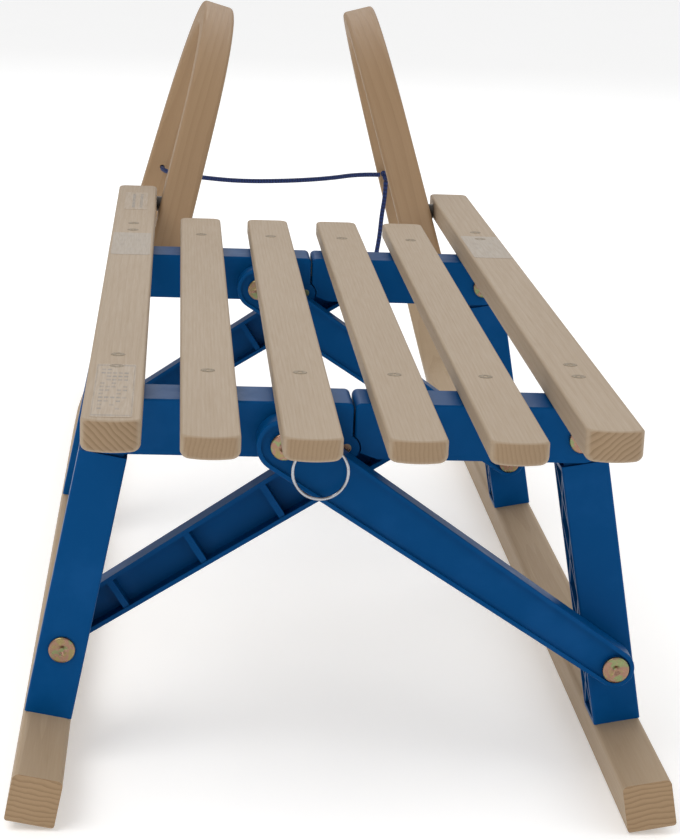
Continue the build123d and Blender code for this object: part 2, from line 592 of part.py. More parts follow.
def end_knot():
    """The knot on the cord's free end, inside the coil."""
    knot = fillet(Cylinder(END_KNOT_R, END_KNOT_LENGTH).edges(), END_KNOT_R / 3)
    x, y = END_KNOT_PLACE
    place = (COIL_AT[0] + x - END_KNOT_LENGTH / 2, COIL_AT[1] + y, END_KNOT_Z)
    return Pos(*place) * Rot(0, 90, 0) * knot


def main():
    os.makedirs("parts", exist_ok=True)

    for place, y in TRESTLES.items():
        put(crossbar_half(y, fork=False), f"crossbar_{place}_right")
        put(mirrored(crossbar_half(y, fork=True)), f"crossbar_{place}_left")
        put(centre_pin(y), f"centre_pin_{place}")
        put(leg(y), f"leg_{place}_right")
        put(mirrored(leg(y)), f"leg_{place}_left")
        lock = place == "rear"
        put(brace(y, lock), f"brace_{place}_right")
        put(turned(brace(y, False), y), f"brace_{place}_left")
        leg_bolt = bolt(*A, y - HALF_DEPTH, y + HALF_DEPTH)
        foot_bolt = bolt(*B, y - BRACE_FAR, y + LEG_DEPTH / 2)
        put(Compound([leg_bolt, foot_bolt]), f"bolts_{place}_right")
        put(Compound([turned(leg_bolt, y), turned(foot_bolt, y)]), f"bolts_{place}_left")

    put(Compound([head_stub(y) for y in TRESTLES.values()]), "head_bolts_right")
    put(Compound([turned(head_stub(y), y) for y in TRESTLES.values()]), "head_bolts_left")
    put(lock_pin(REAR_Y), "lock_pin")
    put(ring(REAR_Y), "lock_ring")

    inner_ends = (REAR_Y - SLAT_OVERHANG_REAR, FRONT_Y + SLAT_OVERHANG_FRONT)
    outer_ends = (REAR_Y - OUTER_OVERHANG_REAR, FRONT_Y + OUTER_OVERHANG_FRONT)
    rows = [(SLAT_OUTER_X, SLAT_OUTER_T, outer_ends)]
    rows += [(x, SLAT_INNER_T, inner_ends) for x in reversed(SLAT_INNER_X)]
    for number, (x, thickness, ends) in enumerate(rows, start=1):
        put(slat(-x, thickness, *ends), f"slat_{number}")
        put(slat(x, thickness, *ends), f"slat_{7 - number}")

    right_runner = runner()
    put(right_runner, "runner_right")
    put(mirrored(right_runner), "runner_left")
    put(sole(), "sole_right")
    put(mirrored(sole()), "sole_left")
    put(peg_body(), "peg_right")
    put(mirrored(peg_body()), "peg_left")

    put(mirrored(stop_knot()), "knot_left")
    put(stop_knot() + side_knot(), "knot_right")
    put(cord_span(), "cord_span")
    put(cord_tail(), "cord_tail")
    put(coil(), "cord_coil")
    put(end_knot(), "knot_end")


main()
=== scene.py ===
"""The looks of a folding wooden sled with horns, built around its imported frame."""
import json
import math

import bpy
import numpy as np
from mathutils import Matrix, Vector

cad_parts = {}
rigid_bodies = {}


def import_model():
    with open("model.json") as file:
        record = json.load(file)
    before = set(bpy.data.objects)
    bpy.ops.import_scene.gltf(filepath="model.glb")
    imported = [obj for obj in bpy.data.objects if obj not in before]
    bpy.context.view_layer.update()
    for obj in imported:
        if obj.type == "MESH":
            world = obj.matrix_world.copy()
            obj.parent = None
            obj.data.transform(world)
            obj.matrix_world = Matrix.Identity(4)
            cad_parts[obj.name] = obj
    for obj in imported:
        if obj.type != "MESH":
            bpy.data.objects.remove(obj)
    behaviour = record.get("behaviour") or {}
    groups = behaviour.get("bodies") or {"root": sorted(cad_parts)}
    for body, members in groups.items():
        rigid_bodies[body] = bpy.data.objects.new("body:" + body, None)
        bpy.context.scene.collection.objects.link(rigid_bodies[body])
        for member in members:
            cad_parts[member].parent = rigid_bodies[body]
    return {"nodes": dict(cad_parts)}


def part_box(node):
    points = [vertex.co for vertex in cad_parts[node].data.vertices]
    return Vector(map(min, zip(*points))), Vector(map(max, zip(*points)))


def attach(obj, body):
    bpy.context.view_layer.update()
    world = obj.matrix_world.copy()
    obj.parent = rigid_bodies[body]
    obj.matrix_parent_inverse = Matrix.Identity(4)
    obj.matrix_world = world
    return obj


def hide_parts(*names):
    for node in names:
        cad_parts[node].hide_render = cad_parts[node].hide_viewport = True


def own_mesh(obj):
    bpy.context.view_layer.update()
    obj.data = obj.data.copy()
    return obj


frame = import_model()

bl_info = {
    "name": "Folding sled looks",
    "version": (1, 0, 0),
    "blender": (4, 5, 0),
    "location": "View3D > Sidebar > Sled",
    "description": "Finishes a folding wooden sled: wood, moulded plastic, bolts, pull cord and studio",
    "category": "Object",
}

NODES = frame["nodes"]
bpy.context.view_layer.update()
PLACES = ("rear", "front")
SIDES = ("left", "right")
SLATS = [f"slat_{number}" for number in range(1, 7)]
OUTER_SLATS = ("slat_1", "slat_6")

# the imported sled's own sizes that the looks follow, in metres and radians
HORN_LEAN = math.radians(15.5)
HORN_TOE = math.radians(1.55)
HORN_TOP = 0.453                # up along the lean
HORN_FRONT_RADIUS = 0.106
HORN_BROW_RADIUS = 0.143
HORN_BACK_RADIUS = 0.282
HORN_BACK_TURN = math.radians(51)
HORN_BACK_RUN = 0.20
HORN_CURVE_BEHIND_BOX = 0.1224  # where the front bend starts, behind the runner's foremost point
BAND_THICKNESS = 0.024
BAND_MIDDLE_UP = 0.0206         # the runner's middle line above the floor, up along the lean
BAND_START = -0.70              # a little behind the runner's rear end
BAND_OFFSET = 0.20              # from the sled's middle to the band's, at the floor
RUNNER_END_BEHIND = -0.58       # behind this the runner's cut end shows its rings


# ---------------------------------------------------------------- sizes and colours a user would change
class SledFinishes(bpy.types.PropertyGroup):
    """Colours and finishes."""

    seat_light: bpy.props.FloatVectorProperty(
        name="Seat wood", description="Pale tone of the slats", subtype="COLOR",
        size=3, min=0, max=1, default=(0.370, 0.286, 0.202))
    seat_dark: bpy.props.FloatVectorProperty(
        name="Seat grain", description="Tone of the slats' grain", subtype="COLOR",
        size=3, min=0, max=1, default=(0.284, 0.206, 0.130))
    runner_light: bpy.props.FloatVectorProperty(
        name="Runner wood", description="Pale tone of the runners and horns", subtype="COLOR",
        size=3, min=0, max=1, default=(0.405, 0.302, 0.198))
    runner_dark: bpy.props.FloatVectorProperty(
        name="Runner grain", description="Tone of the runners' grain", subtype="COLOR",
        size=3, min=0, max=1, default=(0.300, 0.210, 0.128))
    horn_tint: bpy.props.FloatVectorProperty(
        name="Horn tint", description="Multiplies the runner's wood on the horns", subtype="COLOR",
        size=3, min=0, max=1, default=(0.80, 0.70, 0.60))
    plastic: bpy.props.FloatVectorProperty(
        name="Plastic", description="Legs, crossbars and braces", subtype="COLOR",
        size=3, min=0, max=1, default=(0.0, 0.056, 0.188))
    plastic_roughness: bpy.props.FloatProperty(
        name="Plastic roughness", description="Satin of the moulded plastic",
        min=0, max=1, default=0.36)
    cord: bpy.props.FloatVectorProperty(
        name="Cord", description="Pull cord", subtype="COLOR",
        size=3, min=0, max=1, default=(0.006, 0.022, 0.110))


class SledSizes(bpy.types.PropertyGroup):
    """Sizes of what the looks add."""

    cord_diameter: bpy.props.FloatProperty(
        name="Cord diameter", description="Thickness of the pull cord", subtype="DISTANCE",
        unit="LENGTH", min=0.003, max=0.008, default=0.005)
    screw_radius: bpy.props.FloatProperty(
        name="Screw radius", description="Head of a slat screw", subtype="DISTANCE",
        unit="LENGTH", min=0.002, max=0.008, default=0.0048)
    screw_pitch: bpy.props.FloatProperty(
        name="Screw pitch", description="Between the two screws of an outer slat at a trestle",
        subtype="DISTANCE", unit="LENGTH", min=0.01, max=0.06, default=0.033)
    patch_thickness: bpy.props.FloatProperty(
        name="Patch thickness", description="Thin films on the outer slats",
        subtype="DISTANCE", unit="LENGTH", min=0.00005, max=0.001, default=0.00015)


class SledCamera(bpy.types.PropertyGroup):
    """Where the camera stands."""

    place: bpy.props.FloatVectorProperty(
        name="Place", description="Camera's place", subtype="TRANSLATION", size=3,
        default=(-0.1167, -1.9059, 0.6194))
    heading: bpy.props.FloatProperty(
        name="Heading", description="To the right of straight ahead", subtype="ANGLE",
        default=math.radians(4.515))
    pitch: bpy.props.FloatProperty(
        name="Pitch", description="Below the horizon", subtype="ANGLE",
        default=math.radians(14.747))
    roll: bpy.props.FloatProperty(
        name="Roll", description="Tilt of the picture", subtype="ANGLE",
        default=math.radians(2.372))
    lens: bpy.props.FloatProperty(
        name="Lens", description="Focal length in millimetres", min=20, max=300, default=96.05)


def finishes():
    return bpy.context.scene.sled_finishes


def sizes():
    return bpy.context.scene.sled_sizes


# ---------------------------------------------------------------- making shapes
def deselect():
    for thing in bpy.context.scene.objects:
        thing.select_set(False)
    bpy.context.view_layer.objects.active = None


def pick(piece):
    """Make this the only selected object, and the active one."""
    deselect()
    piece.select_set(True)
    bpy.context.view_layer.objects.active = piece


def settle(piece, name):
    """Name the piece and move its place into its mesh."""
    pick(piece)
    bpy.ops.object.transform_apply(location=True, rotation=True, scale=True)
    piece.name = name
    piece.data.name = name
    return piece


def choose_faces(mesh, keep):
    """Select the faces for which keep(face) is true, before edit mode."""
    for edge in mesh.edges:
        edge.select = False
    for vertex in mesh.vertices:
        vertex.select = False
    for face in mesh.polygons:
        face.select = bool(keep(face))


def joined(pieces, name):
    """Join copies into one piece."""
    deselect()
    for piece in pieces:
        piece.select_set(True)
    bpy.context.view_layer.objects.active = pieces[0]
    bpy.ops.object.join()
    return settle(bpy.context.view_layer.objects.active, name)


def finish_piece(piece, body, material):
    piece.data.materials.clear()
    piece.data.materials.append(material)
    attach(piece, body)
    return piece


def middle(node_name):
    """Middle of a CAD node's box."""
    low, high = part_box(node_name)
    return (low + high) / 2


def dress(node_name, material):
    """Give a CAD node its finish."""
    mesh = NODES[node_name].data
    mesh.materials.clear()
    mesh.materials.append(material)


# ---------------------------------------------------------------- making materials
def plug(tree, value, socket):
    if isinstance(value, bpy.types.NodeSocket):
        tree.links.new(value, socket)
    else:
        socket.default_value = value


def add(tree, kind, inputs=None, **settings):
    """A node with its settings, and with a value or a link for each named input."""
    node = tree.nodes.new(kind)
    for key, value in settings.items():
        setattr(node, key, value)
    for key, value in (inputs or {}).items():
        plug(tree, value, node.inputs[key])
    return node


def math_node(tree, operation, *values, clamp=False):
    node = tree.nodes.new("ShaderNodeMath")
    node.operation = operation
    node.use_clamp = clamp
    for value, socket in zip(values, node.inputs):
        plug(tree, value, socket)
    return node.outputs["Value"]


def mix_colour(tree, factor, first, second, blend="MIX"):
    node = tree.nodes.new("ShaderNodeMix")
    node.data_type = "RGBA"
    node.blend_type = blend
    plug(tree, factor, node.inputs[0])
    plug(tree, first, node.inputs[6])
    plug(tree, second, node.inputs[7])
    return node.outputs[2]


def scaled(tree, vector, factors):
    node = add(tree, "ShaderNodeVectorMath", {0: vector, 1: factors}, operation="MULTIPLY")
    return node.outputs[0]


def noise(tree, vector, scale, detail=4.0, roughness=0.55, distortion=0.0):
    """Soft noise between 0 and 1."""
    node = add(tree, "ShaderNodeTexNoise", {
        "Vector": vector, "Scale": scale, "Detail": detail, "Roughness": roughness,
        "Distortion": distortion})
    return node.outputs["Fac"]


def spread(tree, value, low, high, out_low=0.0, out_high=1.0):
    """Map a value from one span to another, smoothly."""
    node = add(tree, "ShaderNodeMapRange", {
        "Value": value, "From Min": low, "From Max": high, "To Min": out_low, "To Max": out_high},
        interpolation_type="SMOOTHSTEP")
    return node.outputs["Result"]


def node_group(name, takes, gives):
    """An empty group with its sockets, its input's outputs by name, and its output node."""
    tree = bpy.data.node_groups.new(name, "ShaderNodeTree")
    for label, kind in takes:
        tree.interface.new_socket(name=label, in_out="INPUT", socket_type=kind)
    for label, kind in gives:
        tree.interface.new_socket(name=label, in_out="OUTPUT", socket_type=kind)
    entry = tree.nodes.new("NodeGroupInput")
    leave = tree.nodes.new("NodeGroupOutput")
    return tree, entry.outputs, leave.inputs


def use_group(tree, group, **inputs):
    node = tree.nodes.new("ShaderNodeGroup")
    node.node_tree = group
    for key, value in inputs.items():
        plug(tree, value, node.inputs[key.replace("_", " ")])
    return node.outputs


def wood_figure_group():
    """Growth rings about a line along Y, fine fibres along Y, and slow changes of tone."""
    tree, given, out = node_group(
        "Wood figure",
        [("Place", "NodeSocketVector"), ("Light", "NodeSocketColor"), ("Dark", "NodeSocketColor"),
         ("Rings", "NodeSocketFloat"), ("Ring Strength", "NodeSocketFloat"),
         ("Fibre Strength", "NodeSocketFloat")],
        [("Colour", "NodeSocketColor"), ("Fibres", "NodeSocketFloat")])
    drawn_out = scaled(tree, given["Place"], (1.0, 0.045, 1.0))
    warp = add(tree, "ShaderNodeTexNoise", {"Vector": drawn_out, "Scale": 28.0, "Detail": 3.0})
    shifted = add(tree, "ShaderNodeVectorMath", {
        0: drawn_out, 1: scaled(tree, warp.outputs["Color"], (0.010, 0.0, 0.010))}, operation="ADD")
    rings = add(tree, "ShaderNodeTexWave", {
        "Vector": shifted.outputs[0], "Scale": given["Rings"], "Distortion": 0.0},
        wave_type="RINGS", rings_direction="Y", wave_profile="SAW")
    late = spread(tree, rings.outputs["Fac"], 0.35, 1.0)
    fibres = noise(
        tree, scaled(tree, given["Place"], (1.0, 0.022, 1.0)), scale=1150.0, detail=5.0, roughness=0.65)
    fleck_noise = noise(tree, scaled(tree, given["Place"], (1.0, 0.06, 1.0)), scale=520.0, detail=2.0)
    flecks = spread(tree, fleck_noise, 0.56, 0.75)
    tone = noise(tree, scaled(tree, given["Place"], (1.0, 0.3, 1.0)), scale=9.0, detail=2.0)
    ring_part = math_node(tree, "MULTIPLY", late, given["Ring Strength"])
    fibre_part = math_node(
        tree, "MULTIPLY", math_node(tree, "SUBTRACT", fibres, 0.5), given["Fibre Strength"])
    fleck_strength = math_node(tree, "MULTIPLY", given["Fibre Strength"], 0.35)
    fleck_part = math_node(tree, "MULTIPLY", flecks, fleck_strength)
    total = math_node(tree, "ADD", math_node(tree, "ADD", ring_part, fibre_part), fleck_part)
    total = math_node(tree, "ADD", total, spread(tree, tone, 0.3, 0.7, 0.0, 0.22), clamp=True)
    plug(tree, mix_colour(tree, total, given["Light"], given["Dark"]), out["Colour"])
    plug(tree, fibres, out["Fibres"])
    return tree


def moulded_group():
    """The fine spark-eroded skin of moulded plastic, with rubbed places."""
    tree, given, out = node_group(
        "Moulded skin", [("Place", "NodeSocketVector"), ("Grain", "NodeSocketFloat")],
        [("Height", "NodeSocketFloat"), ("Rubbed", "NodeSocketFloat")])
    plug(tree, noise(tree, given["Place"], given["Grain"], detail=2.0, roughness=0.5), out["Height"])
    broad = noise(tree, given["Place"], scale=26.0, detail=5.0, roughness=0.62)
    plug(tree, spread(tree, broad, 0.42, 0.70), out["Rubbed"])
    return tree


class Shelf:
    """Node groups, each made once and looked up by name."""

    groups = {}


def shared(name, build):
    if name not in Shelf.groups:
        Shelf.groups[name] = build()
    return Shelf.groups[name]


def begin_material(name):
    material = bpy.data.materials.new(name)
    material.use_nodes = True
    tree = material.node_tree
    return material, tree, tree.nodes["Principled BSDF"]


def object_place(tree):
    return tree.nodes.new("ShaderNodeTexCoord").outputs["Object"]


def bump(tree, height, strength, distance, shader):
    node = add(tree, "ShaderNodeBump", {"Height": height, "Strength": strength, "Distance": distance})
    tree.links.new(node.outputs["Normal"], shader.inputs["Normal"])


def wood(name, light, dark, shift, rings, ring_strength, end_strength, attribute=None):
    """Planed and thinly varnished wood, with its rings about a line along Y.

    shift moves the rings' centre. Cut ends are warmer and darker. With an attribute, which holds the place in
    a bent band, only the runner's rear end is a cut end, and the horn has its tint."""
    material, tree, shader = begin_material(name)
    if attribute:
        place = add(tree, "ShaderNodeAttribute", attribute_name=attribute).outputs["Vector"]
    else:
        place = object_place(tree)
    moved = add(tree, "ShaderNodeMapping", {"Vector": place, "Location": shift}).outputs["Vector"]
    figure = use_group(
        tree, shared("wood", wood_figure_group), Place=moved, Light=(*light, 1.0), Dark=(*dark, 1.0),
        Rings=rings, Ring_Strength=ring_strength, Fibre_Strength=0.38)
    warm = (0.84, 0.76, 0.66)
    ring_darkening = 0.88
    end_light = tuple(part * share for part, share in zip(light, warm))
    end_dark = tuple(part * share * ring_darkening for part, share in zip(dark, warm))
    end_rings = use_group(
        tree, shared("wood", wood_figure_group), Place=moved, Light=(*end_light, 1.0), Dark=(*end_dark, 1.0),
        Rings=rings, Ring_Strength=end_strength, Fibre_Strength=0.20)
    facing = tree.nodes.new("ShaderNodeTexCoord").outputs["Normal"]
    split = add(tree, "ShaderNodeSeparateXYZ", {0: facing})
    end = spread(tree, math_node(tree, "ABSOLUTE", split.outputs["Y"]), 0.55, 0.90)
    if attribute:
        forward = add(tree, "ShaderNodeSeparateXYZ", {0: object_place(tree)}).outputs["Y"]
        end = math_node(tree, "MULTIPLY", end, math_node(tree, "LESS_THAN", forward, RUNNER_END_BEHIND))
    colour = mix_colour(tree, end, figure["Colour"], end_rings["Colour"])
    if attribute:
        height = add(tree, "ShaderNodeSeparateXYZ", {0: object_place(tree)}).outputs["Z"]
        tinted = mix_colour(tree, 1.0, colour, (*finishes().horn_tint, 1.0), blend="MULTIPLY")
        colour = mix_colour(tree, spread(tree, height, 0.05, 0.22), colour, tinted)
    plug(tree, colour, shader.inputs["Base Color"])
    plug(tree, spread(tree, figure["Fibres"], 0.3, 0.7, 0.52, 0.64), shader.inputs["Roughness"])
    shader.inputs["Specular IOR Level"].default_value = 0.25
    bump(tree, figure["Fibres"], strength=0.30, distance=0.0002, shader=shader)
    return material


def plastic():
    """Moulded plastic, a little lighter and smoother where it is rubbed."""
    material, tree, shader = begin_material("blue plastic")
    place = object_place(tree)
    skin = use_group(tree, shared("moulded", moulded_group), Place=place, Grain=1900.0)
    base = finishes().plastic
    lighter = tuple(min(1.0, part * 1.10 + 0.002) for part in base)
    plug(tree, mix_colour(tree, skin["Rubbed"], (*base, 1.0), (*lighter, 1.0)), shader.inputs["Base Color"])
    rough = finishes().plastic_roughness
    plug(tree, spread(tree, skin["Rubbed"], 0.0, 1.0, rough + 0.03, rough - 0.05), shader.inputs["Roughness"])
    shader.inputs["Specular IOR Level"].default_value = 0.05
    bump(tree, skin["Height"], strength=0.12, distance=0.00012, shader=shader)
    return material


def zinc():
    """Yellow-passivated zinc with its faint pink and green bloom."""
    material, tree, shader = begin_material("yellow zinc")
    place = object_place(tree)
    bloom = noise(tree, place, scale=150.0, detail=3.0, roughness=0.55, distortion=0.5)
    yellow, pink, green = (0.300, 0.240, 0.110, 1.0), (0.330, 0.190, 0.140, 1.0), (0.240, 0.270, 0.130, 1.0)
    first = mix_colour(tree, spread(tree, bloom, 0.36, 0.50), yellow, pink)
    plug(tree, mix_colour(tree, spread(tree, bloom, 0.52, 0.62), first, green), shader.inputs["Base Color"])
    shader.inputs["Metallic"].default_value = 1.0
    dulled = noise(tree, place, scale=420.0)
    plug(tree, spread(tree, dulled, 0.3, 0.7, 0.24, 0.38), shader.inputs["Roughness"])
    bump(tree, noise(tree, place, scale=900.0, detail=2.0), strength=0.10, distance=0.00006, shader=shader)
    return material


def steel(name, base, rough, along_grain):
    """Drawn steel; along_grain stretches its fine lines along Y."""
    material, tree, shader = begin_material(name)
    place = scaled(tree, object_place(tree), (1.0, along_grain, 1.0))
    lines = noise(tree, place, scale=1400.0, detail=3.0, roughness=0.6)
    darker = tuple(part * 0.72 for part in base)
    plug(tree, mix_colour(tree, spread(tree, lines, 0.45, 0.75), (*base, 1.0), (*darker, 1.0)),
         shader.inputs["Base Color"])
    shader.inputs["Metallic"].default_value = 1.0
    plug(tree, spread(tree, lines, 0.3, 0.7, rough - 0.05, rough + 0.10), shader.inputs["Roughness"])
    bump(tree, lines, strength=0.2, distance=0.00008, shader=shader)
    return material


BRAID_PITCH = 0.0048      # length of the cord in which the strands repeat
BRAID_STRANDS = 4.0       # round the cord, each way


def braided(name, length):
    """Braided cord, with painted shade in the hollows between its strands and a painted highlight on their
    crowns. The piece's UV runs along its length and round it.
    """
    material, tree, shader = begin_material(name)
    split = add(tree, "ShaderNodeSeparateXYZ", {0: tree.nodes.new("ShaderNodeTexCoord").outputs["UV"]})
    along = math_node(tree, "MULTIPLY", split.outputs["X"], length / BRAID_PITCH)
    round_it = math_node(tree, "MULTIPLY", split.outputs["Y"], BRAID_STRANDS)
    turn = 2 * math.pi
    waves = [math_node(tree, "SINE", math_node(
        tree, "MULTIPLY", math_node(tree, way, along, round_it), turn)) for way in ("ADD", "SUBTRACT")]
    weave = math_node(tree, "MULTIPLY", *waves)
    base = finishes().cord
    # painted shade: the hollows between the strands are darkened, and painted highlight: the strands' crowns
    # are lightened; the cord's own colour is the same all over
    hollow_painted_shade = tuple(part * 0.35 for part in base)
    crown_painted_highlight = tuple(min(1, part * 1.7 + 0.01) for part in base)
    shade = mix_colour(tree, spread(tree, weave, -0.9, 0.5), (*hollow_painted_shade, 1.0), (*base, 1.0))
    plug(tree, mix_colour(tree, spread(tree, weave, 0.5, 1.0), shade, (*crown_painted_highlight, 1.0)),
         shader.inputs["Base Color"])
    shader.inputs["Roughness"].default_value = 0.62
    shader.inputs["Sheen Weight"].default_value = 0.08
    shader.inputs["Specular IOR Level"].default_value = 0.25
    bump(tree, weave, strength=0.6, distance=0.0005, shader=shader)
    return material


FILM_PAPER = (0.330, 0.300, 0.262, 1.0)
FILM_INK = (0.075, 0.095, 0.105, 1.0)


def film(name, columns, rows, ink, cover, frame_line):
    """Thin printed film over the wood: a grid of short plain dashes, and perhaps a frame line.

    columns and rows say how many dashes; the dashes spell nothing. ink is how strong they are, cover is how
    much of the wood below is hidden, and frame_line is how strong the line round the film is."""
    material, tree, shader = begin_material(name)
    place = object_place(tree)
    look = finishes()
    tone = noise(tree, scaled(tree, place, (1.0, 0.05, 1.0)), scale=900.0, detail=3.0)
    wooden = mix_colour(tree, tone, (*look.seat_light, 1.0), (*look.seat_dark, 1.0))
    ground = mix_colour(tree, cover, wooden, FILM_PAPER)
    split = add(tree, "ShaderNodeSeparateXYZ", {0: tree.nodes.new("ShaderNodeTexCoord").outputs["UV"]})
    u, v = split.outputs["X"], split.outputs["Y"]
    from_side = math_node(tree, "ABSOLUTE", math_node(tree, "SUBTRACT", u, 0.5))
    from_end = math_node(tree, "ABSOLUTE", math_node(tree, "SUBTRACT", v, 0.5))
    column = math_node(tree, "MULTIPLY", u, columns)
    row = math_node(tree, "MULTIPLY", v, rows)
    cell = add(tree, "ShaderNodeCombineXYZ", {
        "X": math_node(tree, "FLOOR", column), "Y": math_node(tree, "FLOOR", row)}).outputs[0]
    chosen = add(tree, "ShaderNodeTexWhiteNoise", {"Vector": cell}, noise_dimensions="2D").outputs["Value"]
    dash_height = 0.45 if rows > 1 else 1.0
    dash = math_node(tree, "LESS_THAN", math_node(tree, "FRACT", row), dash_height)
    for value, limit in ((math_node(tree, "FRACT", column), 0.74), (chosen, 0.62), (from_side, 0.36),
                         (from_end, 0.40)):
        dash = math_node(tree, "MULTIPLY", dash, math_node(tree, "LESS_THAN", value, limit))
    edge = math_node(tree, "MAXIMUM", from_side, from_end)
    line = math_node(tree, "MULTIPLY", math_node(tree, "GREATER_THAN", edge, 0.455),
                     math_node(tree, "LESS_THAN", edge, 0.480))
    marks = math_node(tree, "MAXIMUM", math_node(tree, "MULTIPLY", line, frame_line), dash)
    worn = spread(tree, noise(tree, place, scale=160.0, detail=3.0), 0.30, 0.62, 0.35, 1.0)
    strength = math_node(tree, "MULTIPLY", math_node(tree, "MULTIPLY", marks, worn), ink)
    plug(tree, mix_colour(tree, strength, ground, FILM_INK), shader.inputs["Base Color"])
    plug(tree, spread(tree, tone, 0.3, 0.7, 0.42, 0.52), shader.inputs["Roughness"])
    shader.inputs["Specular IOR Level"].default_value = 0.3
    bump(tree, tone, strength=0.15, distance=0.0001, shader=shader)
    return material


def screw_metal():
    """Dull olive-brown head of a wood screw."""
    material, tree, shader = begin_material("screw head")
    place = object_place(tree)
    tone = spread(tree, noise(tree, place, scale=700.0, detail=3.0), 0.35, 0.65)
    plug(tree, mix_colour(tree, tone, (0.215, 0.160, 0.090, 1.0), (0.150, 0.110, 0.060, 1.0)),
         shader.inputs["Base Color"])
    shader.inputs["Metallic"].default_value = 0.3
    plug(tree, spread(tree, tone, 0.0, 1.0, 0.45, 0.58), shader.inputs["Roughness"])
    bump(tree, noise(tree, place, scale=1500.0, detail=2.0), strength=0.15, distance=0.00006, shader=shader)
    return material


def black_peg():
    """Brownish black moulded plastic of the rest pegs."""
    material, tree, shader = begin_material("peg plastic")
    skin = use_group(tree, shared("moulded", moulded_group), Place=object_place(tree), Grain=1500.0)
    plug(tree, mix_colour(tree, skin["Rubbed"], (0.040, 0.032, 0.026, 1.0), (0.060, 0.050, 0.042, 1.0)),
         shader.inputs["Base Color"])
    shader.inputs["Roughness"].default_value = 0.55
    bump(tree, skin["Height"], strength=0.15, distance=0.0001, shader=shader)
    return material


def studio_floor():
    """Pale matt floor with a faint light of its own."""
    material, tree, shader = begin_material("studio floor")
    tone = noise(tree, object_place(tree), scale=3.0, detail=2.0)
    plug(tree, mix_colour(tree, tone, (0.90, 0.90, 0.90, 1.0), (0.92, 0.92, 0.92, 1.0)),
         shader.inputs["Base Color"])
    shader.inputs["Roughness"].default_value = 0.9
    shader.inputs["Specular IOR Level"].default_value = 0.1
    shader.inputs["Emission Color"].default_value = (1.0, 1.0, 1.0, 1.0)
    shader.inputs["Emission Strength"].default_value = 0.28
    return material


# ---------------------------------------------------------------- pull cord
CORD_START = Vector((0.130005, 0.610871, 0.243799))     # where the cord leaves the right horn
SIDE_KNOT = Vector((0.122465, 0.606865, 0.243799))      # knot against the right horn
SIDE_KNOT_SIZE = 0.014
HORN_HOLE = Vector((0.130465, 0.627865, 0.243799))
STOP_KNOT_AHEAD = 0.0168                                # of the hole's middle, on the horn's front
KNOT_REACH = 0.00155                                    # scale of the cord's winding in a knot
END_KNOT_REACH = 0.00112
KNOT_CORD_LENGTH = 0.09                                 # wound up in a knot
OUT_OF_HORN = 0.016                                     # straight run behind the left horn
BELOW_KNOT = 0.016                                      # straight run under the side knot
COIL = Vector((0.144, 0.4005, 0.0))
COIL_WIDE, COIL_TIGHT = 0.0275, 0.0225                  # radii of the outer and inner turns
COIL_RISE = 0.005                                       # from layer to layer
COIL_STEPS_A_TURN = 14
COIL_STEPS = 62
LYING = 0.00255                                         # middle of cord that lies on the floor
SPAN_MIDDLE = ((-0.088, 0.570, 0.2405), (-0.044, 0.573, 0.237), (0.008, 0.578, 0.238), (0.056, 0.586, 0.241))
TAIL_MIDDLE = ((0.118, 0.5915, 0.200), (0.1165, 0.590, 0.175), (0.1125, 0.589, 0.149), (0.1135, 0.589, 0.113),
               (0.117, 0.588, 0.076), (0.120, 0.582, 0.042), (0.124, 0.565, 0.015), (0.127, 0.538, 0.0032),
               (0.124, 0.507, LYING), (0.1165, 0.4525, LYING), (0.1165, 0.4225, LYING))
CURL_END = ((0.0155, 0.0075, 0.0100), (0.0110, 0.0103, 0.0073), (0.0060, 0.0105, 0.0056))
# turns done, radius and layer, where the coil's radius or layer starts or stops changing
COIL_STATIONS = (
    (0.0, COIL_WIDE, 0), (0.78, COIL_WIDE, 0), (0.95, COIL_TIGHT, 0), (1.60, COIL_TIGHT, 0),
    (1.78, COIL_TIGHT, 1), (2.42, COIL_TIGHT, 1), (2.58, COIL_WIDE, 1), (3.24, COIL_WIDE, 1),
    (3.41, COIL_WIDE, 2), (4.05, COIL_WIDE, 2), (4.22, COIL_TIGHT, 2), (4.45, COIL_TIGHT, 2))


def smooth_line(name, points, order=3, resolution=8, closed=False):
    """A NURBS curve with these control points."""
    curve = bpy.data.curves.new(name, "CURVE")
    curve.dimensions = "3D"
    spline = curve.splines.new("NURBS")
    spline.points.add(len(points) - 1)
    for control, point in zip(spline.points, points):
        control.co = (*point, 1.0)
    spline.order_u = order
    spline.use_endpoint_u = not closed
    spline.use_cyclic_u = closed
    spline.resolution_u = resolution
    line = bpy.data.objects.new(name, curve)
    bpy.context.scene.collection.objects.link(line)
    return line


def followed(line):
    """The points that a bare curve follows, in order."""
    bpy.context.view_layer.update()
    mesh = bpy.data.meshes.new_from_object(line.evaluated_get(bpy.context.evaluated_depsgraph_get()))
    points = [vertex.co.copy() for vertex in mesh.vertices]
    bpy.data.meshes.remove(mesh)
    return points


def length_of(path):
    return sum((b - a).length for a, b in zip(path, path[1:]))


def thicken(line, radius, name):
    """Turn a bare line into a round mesh piece."""
    line.data.bevel_depth = radius
    line.data.bevel_resolution = 3
    line.data.use_fill_caps = True
    pick(line)
    bpy.ops.object.convert(target="MESH")
    bpy.ops.object.shade_smooth()
    return settle(bpy.context.view_layer.objects.active, name)


def rope(name, points):
    """A mesh tube along the smooth line through these control points, and the points that it follows."""
    line = smooth_line(name, points)
    path = followed(line)
    return thicken(line, sizes().cord_diameter / 2, name), path


def span_points():
    """Out of the left horn, across with a sag, and into the side knot."""
    first = Vector((-CORD_START.x, CORD_START.y, CORD_START.z))
    out = first + OUT_OF_HORN * Vector((math.sin(HORN_TOE), -math.cos(HORN_TOE), 0))
    end = SIDE_KNOT - Vector((SIDE_KNOT_SIZE / 2, 0, 0))
    return [first, out, out + Vector((0.012, -0.010, -0.002)), *map(Vector, SPAN_MIDDLE),
            end - Vector((0.024, 0, 0)), end]


